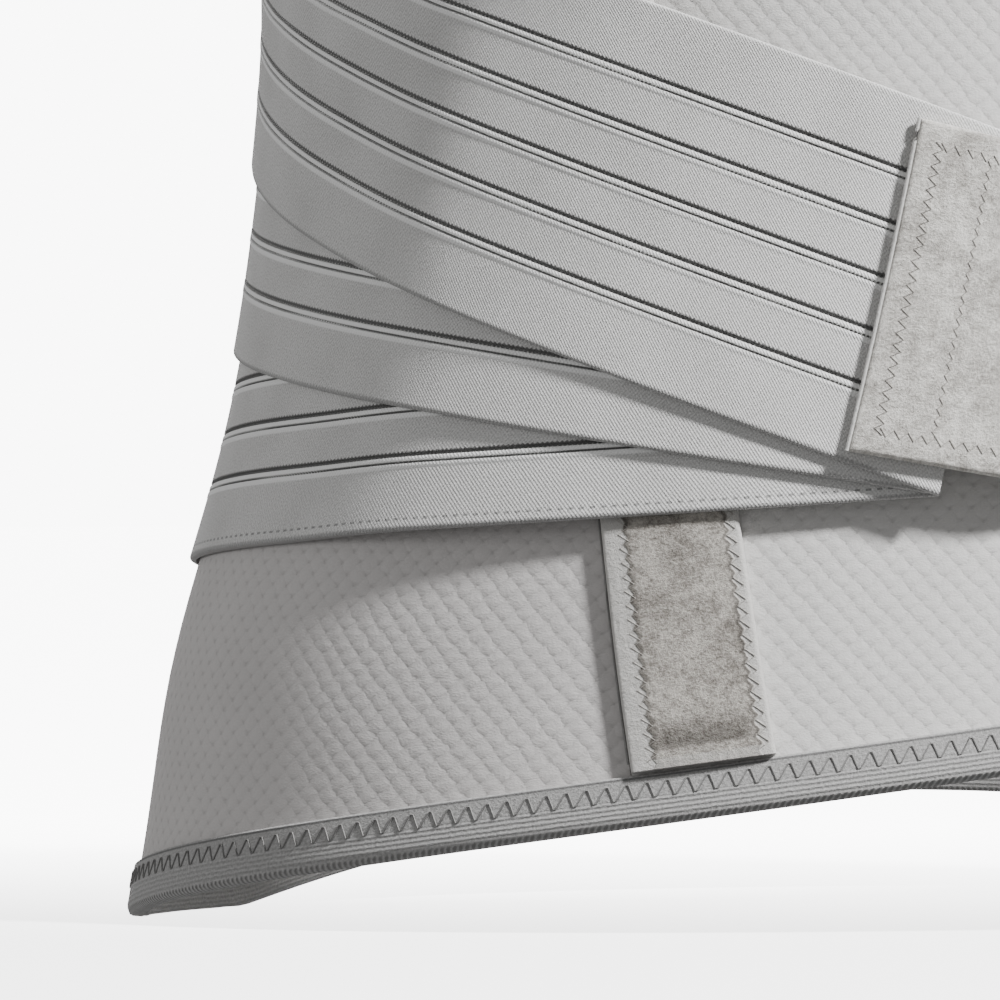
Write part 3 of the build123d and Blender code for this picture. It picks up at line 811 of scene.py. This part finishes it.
# ------------------------------------------------------------------- stage
def stage_floor():
    me = bpy.data.meshes.new("floor")
    r = 30.0
    me.from_pydata([(-r, -r, 0), (r, -r, 0), (r, r, 0), (-r, r, 0)], [], [(0, 1, 2, 3)])
    ob = bpy.data.objects.new("floor", me)
    bpy.context.scene.collection.objects.link(ob)
    mat = bpy.data.materials.new("floor")
    mat.use_nodes = True
    b = mat.node_tree.nodes["Principled BSDF"]
    b.inputs["Base Color"].default_value = (0.8, 0.8, 0.8, 1)
    b.inputs["Roughness"].default_value = 0.9
    b.inputs["Specular IOR Level"].default_value = 0.0
    b.inputs["Emission Color"].default_value = (1, 1, 1, 1)
    where = mat.node_tree.nodes.new("ShaderNodeTexCoord")
    along = mat.node_tree.nodes.new("ShaderNodeVectorMath")
    along.operation = "DOT_PRODUCT"
    along.inputs[1].default_value = (0.342, 0.94, 0.0)
    mat.node_tree.links.new(where.outputs["Object"], along.inputs[0])
    glow = mat.node_tree.nodes.new("ShaderNodeMapRange")
    glow.interpolation_type = "SMOOTHSTEP"
    mat.node_tree.links.new(along.outputs["Value"], glow.inputs["Value"])
    glow.inputs["From Min"].default_value = -0.2
    glow.inputs["From Max"].default_value = 0.6
    glow.inputs["To Min"].default_value = 3.0
    glow.inputs["To Max"].default_value = 9.0
    mat.node_tree.links.new(glow.outputs[0], b.inputs["Emission Strength"])
    me.materials.append(mat)
    ob.location.z = -0.0002
    ob.visible_diffuse = False
    ob.visible_glossy = False
    return ob


def area(name, where, aim, size, power):
    light = bpy.data.lights.new(name, "AREA")
    light.shape = "DISK"
    light.size = size
    light.energy = power
    ob = bpy.data.objects.new(name, light)
    ob.location = where
    ob.rotation_euler = (Vector(aim) - Vector(where)).to_track_quat("-Z", "Y").to_euler()
    ob.visible_camera = False
    bpy.context.scene.collection.objects.link(ob)
    return ob


floor = stage_floor()
floor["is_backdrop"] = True
key = area("key", (0.85, -1.45, 1.5), (0, -0.05, 0.1), 0.3, 122.0)
key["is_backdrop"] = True
fill = area("fill", (-2.0, 0.7, 0.6), (0, 0, 0.12), 0.8, 9.0)
fill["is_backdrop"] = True

world = bpy.data.worlds.new("studio")
bpy.context.scene.world = world
world.use_nodes = True
tree = world.node_tree
bg = tree.nodes["Background"]
coord = tree.nodes.new("ShaderNodeTexCoord")
dot = tree.nodes.new("ShaderNodeVectorMath")
dot.operation = "DOT_PRODUCT"
dot.inputs[1].default_value = (0.342, 0.94, 0.0)
tree.links.new(coord.outputs["Generated"], dot.inputs[0])
fade = tree.nodes.new("ShaderNodeMapRange")
fade.interpolation_type = "SMOOTHSTEP"
tree.links.new(dot.outputs["Value"], fade.inputs["Value"])
fade.inputs["From Min"].default_value = 0.93
fade.inputs["From Max"].default_value = 0.99
fade.inputs["To Min"].default_value = 0.3
fade.inputs["To Max"].default_value = 9.0
tree.links.new(fade.outputs[0], bg.inputs["Strength"])
bg.inputs["Color"].default_value = (1, 1, 1, 1)

# ------------------------------------------------------------------ camera
AZ = math.radians(-20.0)
DIST = 2.2
right = Vector((math.cos(AZ), math.sin(AZ), 0))
back_dir = Vector((math.sin(AZ), -math.cos(AZ), 0))
target = Vector((0, SHIFT_Y * 0.001, 0.08276)) + right * -0.12436
cam = bpy.data.cameras.new("camera")
cam.sensor_width = 36.0
cam.lens = 5.2 * (2200.0 - 112.0) * 36.0 / 1000.0
cam.clip_end = 100.0
cam_ob = bpy.data.objects.new("camera", cam)
cam_ob.location = target + back_dir * DIST
cam_ob.rotation_euler = (-back_dir).to_track_quat("-Z", "Y").to_euler()
bpy.context.scene.collection.objects.link(cam_ob)
bpy.context.scene.camera = cam_ob

low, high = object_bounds()
{"before": [list(LOW_BEFORE), list(HIGH_BEFORE)], "after": [list(low), list(high)]}
